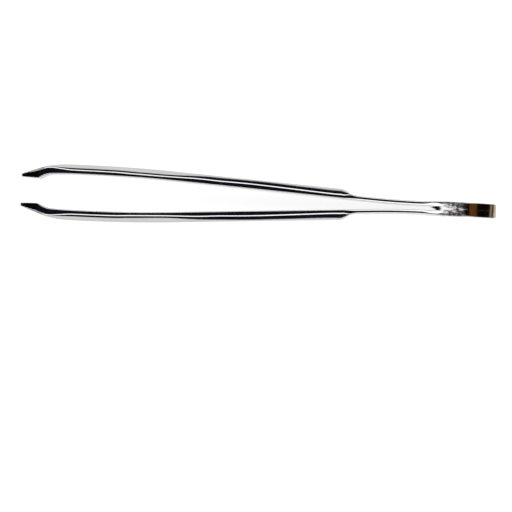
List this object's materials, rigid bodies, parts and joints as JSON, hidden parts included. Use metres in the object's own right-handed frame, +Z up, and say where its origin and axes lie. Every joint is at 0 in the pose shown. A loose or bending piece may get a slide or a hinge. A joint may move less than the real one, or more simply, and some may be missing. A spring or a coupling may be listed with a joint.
{
  "type": "stamp tongs",
  "caption": "Polished spring tongs: two slim arms with broad, bevelled spade tips, joined at a flat pointed tail, squeezed shut to pick up stamps and other small flat items.",
  "frame": {"origin": "on the mid-plane between the arms, under the middle of the tongs' length, at the height of their lowest edge as they lie on their long edges", "axes": "+X from the tips to the pointed tail, +Y to the right arm, the way it opens, and +Z up across the width of the arms"},
  "size_m": [0.095, 0.0112, 0.0066],
  "materials": {
    "polished_nickel": "mirror-polished nickel plate, with the outer face of each spade ground matt",
    "weld_steel": "bare resolidified steel, hidden inside the tail"
  },
  "bodies": {
    "tail": {"right_arm_tail": "polished_nickel", "left_arm_tail": "polished_nickel", "weld_nuggets": "weld_steel"},
    "right_arm": {"right_arm_front": "polished_nickel"},
    "left_arm": {"left_arm_front": "polished_nickel"}
  },
  "joints": [
    {"name": "right_arm_flex", "type": "hinge", "parent": "tail", "child": "right_arm", "pos_m": [0.0263, 0.00101, 0.00332], "axis": [0, 0, 1], "range_deg": [0, 2], "stiffness_Nm_per_rad": 4.5},
    {"name": "left_arm_flex", "type": "hinge", "parent": "tail", "child": "left_arm", "pos_m": [0.0263, -0.00101, 0.00332], "axis": [0, 0, -1], "range_deg": [0, 2], "stiffness_Nm_per_rad": 4.5}
  ]
}
